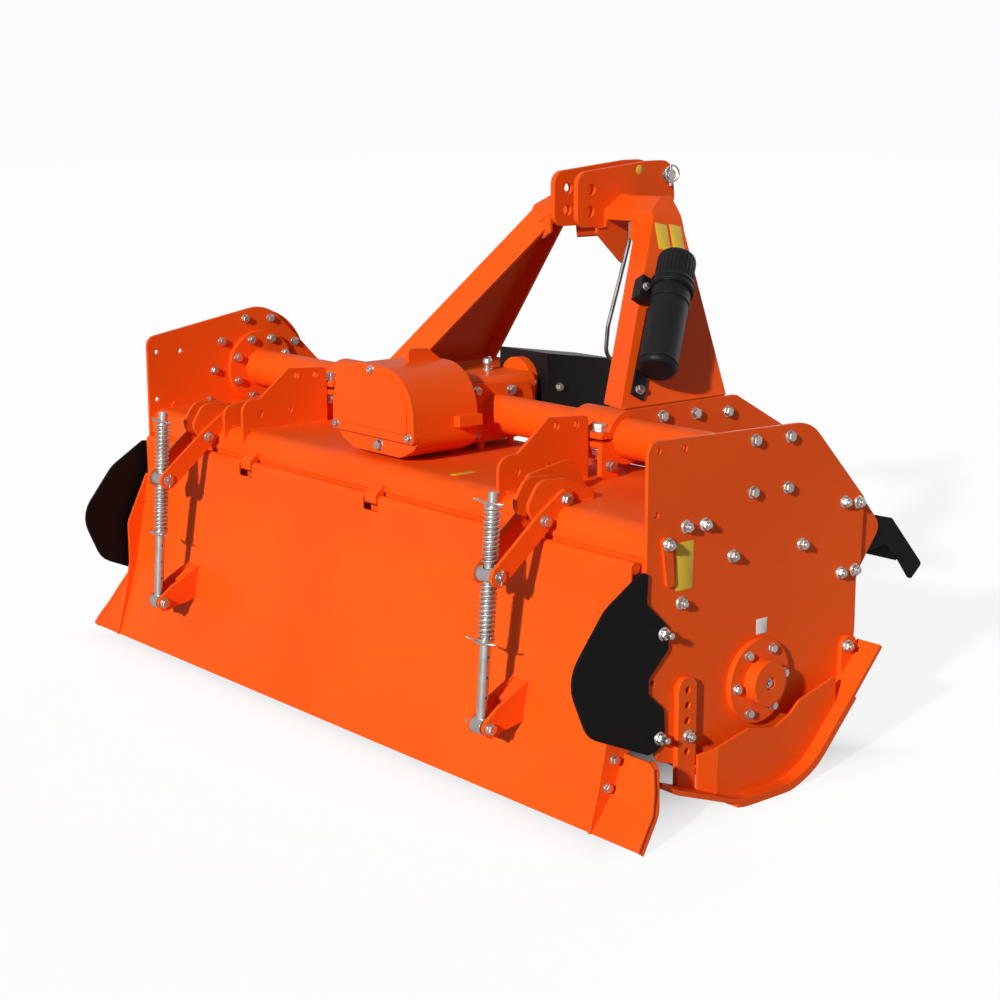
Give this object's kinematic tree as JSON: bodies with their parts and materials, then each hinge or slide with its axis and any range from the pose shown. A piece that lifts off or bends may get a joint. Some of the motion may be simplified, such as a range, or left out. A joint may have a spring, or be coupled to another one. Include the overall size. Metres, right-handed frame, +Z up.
{
  "type": "rotary tiller",
  "caption": "Three-point-hitch rotary tiller: bladed rotor between side plates under a hood, spring-held tailboard, bevel gearbox on a tube beam, A-frame hitch and skids.",
  "frame": {"origin": "on the ground, under the middle of the whole machine's box", "axes": "+X right-hand side seen from behind, +Y forward to the tractor, +Z up"},
  "size_m": [2.022, 1.1189, 1.2106],
  "materials": {
    "orange_paint": "gloss powder coat",
    "black_paint": "satin paint",
    "black_plastic": "moulded",
    "zinc": "zinc plated",
    "steel": "turned"
  },
  "bodies": {
    "frame": {"side_plate_right": "orange_paint", "side_plate_left": "orange_paint", "hood": "orange_paint", "beam_tube_left": "orange_paint", "beam_tube_right": "orange_paint", "gearbox": "orange_paint", "gear_housing": "orange_paint", "gear_cover": "orange_paint", "side_gear_case": "orange_paint", "rotor_bearing": "orange_paint", "hitch_arm_right": "orange_paint", "hitch_arm_left": "orange_paint", "top_link_plates": "orange_paint", "top_link_pin": "zinc", "lower_link_brackets": "orange_paint", "lower_link_pins": "zinc", "beam_clamps": "orange_paint", "support_posts": "orange_paint", "pto_shield": "black_plastic", "manual_canister": "black_plastic", "canister_bracket": "black_plastic", "driveline_hook": "steel", "skids": "orange_paint", "skid_straps": "orange_paint", "side_deflectors": "black_paint", "front_guard": "black_paint", "guard_plates": "orange_paint", "deck_brackets": "orange_paint", "arm_brackets": "orange_paint", "spring_arms": "orange_paint", "hinge_rod": "orange_paint", "stop_latches": "orange_paint"},
    "rotor": {"rotor": "black_paint"},
    "input_shaft": {"input_shaft": "steel"},
    "tailboard": {"tailboard": "orange_paint", "tailboard_wings": "orange_paint", "rod_lugs": "orange_paint"},
    "rod_right": {"spring_rod_right": "zinc", "lower_spring_right": "zinc"},
    "trunnion_right": {"trunnion_right": "zinc", "upper_spring_right": "zinc"},
    "rod_left": {"spring_rod_left": "zinc", "lower_spring_left": "zinc"},
    "trunnion_left": {"trunnion_left": "zinc", "upper_spring_left": "zinc"}
  },
  "joints": [
    {"name": "rotor_spin", "type": "hinge", "parent": "frame", "child": "rotor", "pos_m": [0, -0.06, 0.229], "axis": [1, 0, 0], "continuous": true},
    {"name": "pto_spin", "type": "hinge", "parent": "frame", "child": "input_shaft", "pos_m": [0, 0.112, 0.715], "axis": [0, 1, 0], "continuous": true},
    {"name": "tailboard_hinge", "type": "hinge", "parent": "frame", "child": "tailboard", "pos_m": [0, -0.379, 0.505], "axis": [-1, 0, 0], "range_deg": [0, 15], "deforming": ["lower_spring_right", "lower_spring_left"]},
    {"name": "rod_swing_right", "type": "hinge", "parent": "tailboard", "child": "rod_right", "pos_m": [0.61, -0.529, 0.1615], "axis": [-1, 0, 0], "range_deg": [0, 4]},
    {"name": "trunnion_swing_right", "type": "hinge", "parent": "frame", "child": "trunnion_right", "pos_m": [0.61, -0.508, 0.462], "axis": [-1, 0, 0], "range_deg": [0, 19]},
    {"name": "rod_swing_left", "type": "hinge", "parent": "tailboard", "child": "rod_left", "pos_m": [-0.61, -0.529, 0.1615], "axis": [-1, 0, 0], "range_deg": [0, 4]},
    {"name": "trunnion_swing_left", "type": "hinge", "parent": "frame", "child": "trunnion_left", "pos_m": [-0.61, -0.508, 0.462], "axis": [-1, 0, 0], "range_deg": [0, 19]}
  ],
  "couplings": [
    {"joint": "pto_spin", "follows": "rotor_spin", "ratio": 2.5},
    {"joint": "rod_swing_right", "follows": "tailboard_hinge", "ratio": 0.238},
    {"joint": "trunnion_swing_right", "follows": "tailboard_hinge", "ratio": 1.238},
    {"joint": "rod_swing_left", "follows": "tailboard_hinge", "ratio": 0.238},
    {"joint": "trunnion_swing_left", "follows": "tailboard_hinge", "ratio": 1.238}
  ]
}
